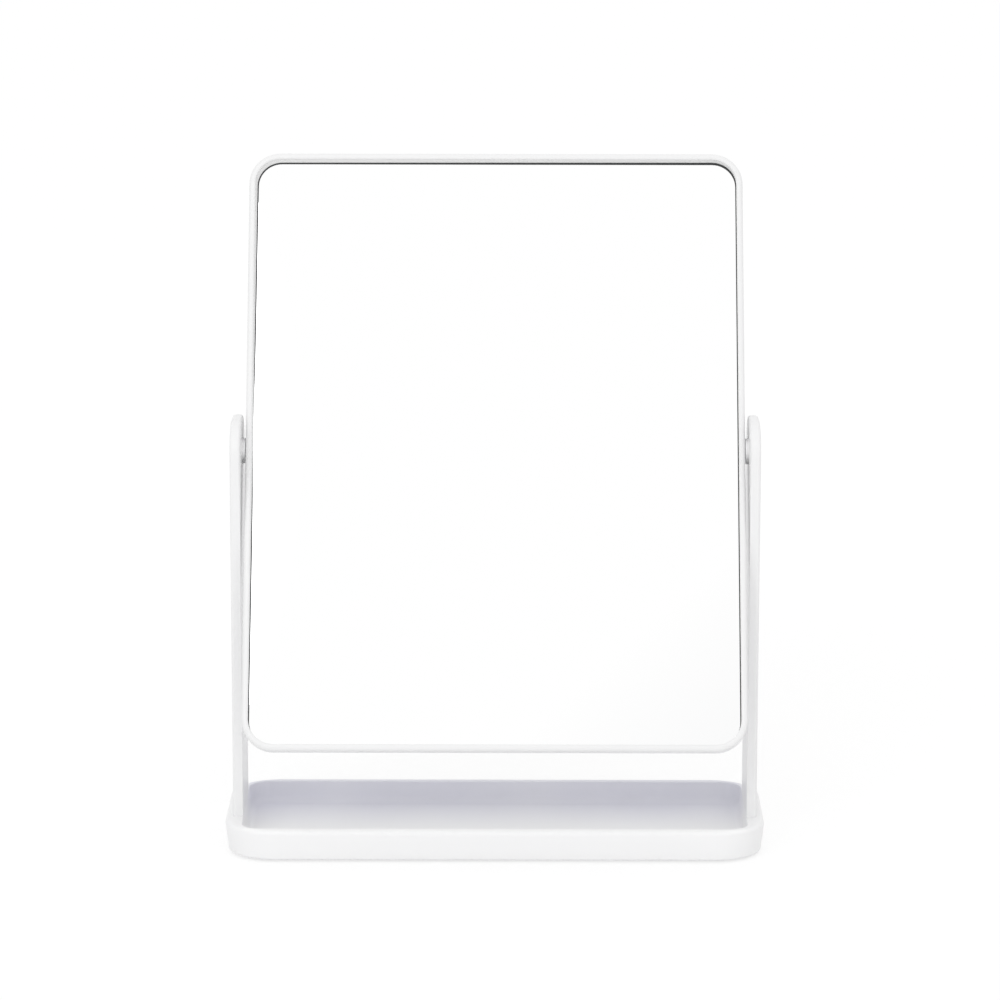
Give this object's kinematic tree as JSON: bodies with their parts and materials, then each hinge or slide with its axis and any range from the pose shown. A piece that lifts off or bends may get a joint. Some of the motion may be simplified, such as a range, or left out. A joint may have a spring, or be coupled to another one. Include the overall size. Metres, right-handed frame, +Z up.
{
  "type": "tabletop mirror",
  "caption": "Free-standing vanity mirror: a rounded rectangular glass in a thin white frame tilts between uprights on a shallow rectangular tray.",
  "frame": {"origin": "on the table, below the middle of the tray, which is the middle of the overall outline at rest", "axes": "+X to the right seen from the front, +Y to the back, away from the user, +Z up"},
  "size_m": [0.2146, 0.1112, 0.2708],
  "materials": {
    "tray_plastic": "satin white moulding",
    "arm_plastic": "satin white moulding",
    "frame_plastic": "satin white moulding",
    "cover_plastic": "fine-grained white moulding",
    "mirror": "silvered float glass",
    "steel": "plated steel",
    "nylon": "natural nylon",
    "rubber": "soft grey pad",
    "foam": "closed-cell foam tape"
  },
  "bodies": {
    "stand": {"tray_shell": "tray_plastic", "left_arm": "arm_plastic", "left_pivot_pin": "steel", "left_slip_washer": "nylon", "left_arm_screw_front": "steel", "foot_front_left": "rubber", "left_arm_screw_rear": "steel", "foot_rear_left": "rubber", "right_arm": "arm_plastic", "right_pivot_pin": "steel", "right_slip_washer": "nylon", "right_arm_screw_front": "steel", "foot_front_right": "rubber", "right_arm_screw_rear": "steel", "foot_rear_right": "rubber"},
    "mirror_head": {"bezel_frame": "frame_plastic", "mirror_glass": "mirror", "rear_cover": "cover_plastic", "left_bearing_block": "nylon", "right_bearing_block": "nylon", "foam_strip_top": "foam", "foam_strip_bottom": "foam", "foam_strip_left": "foam", "foam_strip_right": "foam"}
  },
  "joints": [
    {"name": "mirror_tilt", "type": "hinge", "parent": "stand", "child": "mirror_head", "pos_m": [0, 0, 0.1583], "axis": [1, 0, 0], "continuous": true}
  ]
}
